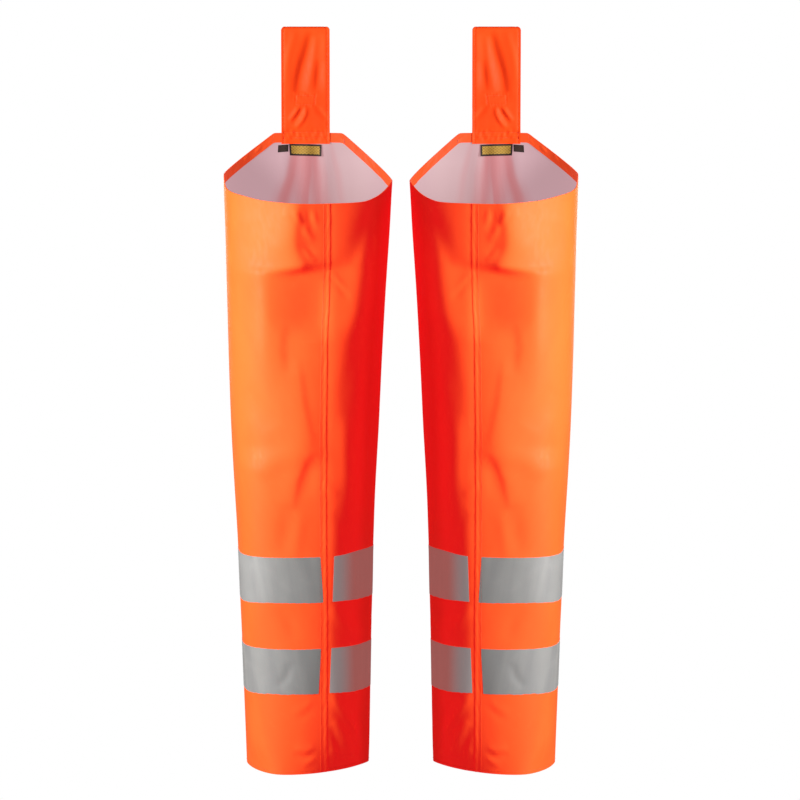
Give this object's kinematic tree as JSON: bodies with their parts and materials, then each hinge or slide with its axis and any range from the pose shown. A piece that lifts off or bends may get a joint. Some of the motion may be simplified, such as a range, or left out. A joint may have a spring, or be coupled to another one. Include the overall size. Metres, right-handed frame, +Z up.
{
  "type": "pair of belt-worn leggings",
  "caption": "Pair of high-visibility over-trouser leggings: tapering fabric tubes with reflective bands, each hung from a waist belt by a wide hook-and-loop strap.",
  "frame": {"origin": "on the belt line, midway between the two belt loops", "axes": "+X along the belt, +Y from the inner leg to the hip, +Z up"},
  "size_m": [0.544, 0.2256, 1.1365],
  "materials": {
    "orange_cloth": "satin",
    "strap_cloth": "satin",
    "seam_sealing_tape": "matte",
    "reflective_tape": "satin",
    "orange_thread": "matte",
    "woven_label": "matte",
    "size_label": "matte",
    "loop_tape": "matte",
    "hook_tape": "matte"
  },
  "bodies": {
    "left_strap": {"left_strap": "strap_cloth", "left_strap_edge_stitching": "orange_thread", "left_loop_patch": "loop_tape", "left_patch_stitching": "orange_thread"},
    "right_strap": {"right_strap": "strap_cloth", "right_strap_edge_stitching": "orange_thread", "right_loop_patch": "loop_tape", "right_patch_stitching": "orange_thread"},
    "left_flap": {"left_strap_flap": "strap_cloth", "left_hook_patch": "hook_tape"},
    "left_legging": {"left_shell": "orange_cloth", "left_facing_top": "orange_cloth", "left_facing_outer_slant": "orange_cloth", "left_facing_inner_slant": "orange_cloth", "left_facing_inner_leg": "orange_cloth", "left_hem_fold": "orange_cloth", "left_seam_lap": "orange_cloth", "left_seam_tape": "seam_sealing_tape", "left_seam_topstitch": "orange_thread", "left_upper_reflective_band": "reflective_tape", "left_lower_reflective_band": "reflective_tape", "left_hem_topstitch": "orange_thread", "left_strap_anchor": "strap_cloth", "left_anchor_stitching": "orange_thread", "left_brand_label_blank": "woven_label", "left_size_label_blank": "size_label"},
    "right_flap": {"right_strap_flap": "strap_cloth", "right_hook_patch": "hook_tape"},
    "right_legging": {"right_shell": "orange_cloth", "right_facing_top": "orange_cloth", "right_facing_outer_slant": "orange_cloth", "right_facing_inner_slant": "orange_cloth", "right_facing_inner_leg": "orange_cloth", "right_hem_fold": "orange_cloth", "right_seam_lap": "orange_cloth", "right_seam_tape": "seam_sealing_tape", "right_seam_topstitch": "orange_thread", "right_upper_reflective_band": "reflective_tape", "right_lower_reflective_band": "reflective_tape", "right_hem_topstitch": "orange_thread", "right_strap_anchor": "strap_cloth", "right_anchor_stitching": "orange_thread", "right_brand_label_blank": "woven_label", "right_size_label_blank": "size_label"}
  },
  "joints": [
    {"name": "right_belt_slide", "type": "slide", "parent": "left_strap", "child": "right_strap", "axis": [1, 0, 0], "range_m": [-0.02, 0.25]},
    {"name": "left_legging_swing", "type": "hinge", "parent": "left_strap", "child": "left_legging", "pos_m": [-0.148, -0.0046, -0.133], "axis": [1, 0, 0], "range_deg": [-30, 30]},
    {"name": "left_flap_open", "type": "hinge", "parent": "left_strap", "child": "left_flap", "pos_m": [-0.148, 0.0055, 0.0188], "axis": [1, 0, 0], "range_deg": [0, 150]},
    {"name": "right_legging_swing", "type": "hinge", "parent": "right_strap", "child": "right_legging", "pos_m": [0.148, -0.0046, -0.133], "axis": [1, 0, 0], "range_deg": [-30, 30]},
    {"name": "right_flap_open", "type": "hinge", "parent": "right_strap", "child": "right_flap", "pos_m": [0.148, 0.0055, 0.0188], "axis": [1, 0, 0], "range_deg": [0, 150]}
  ]
}
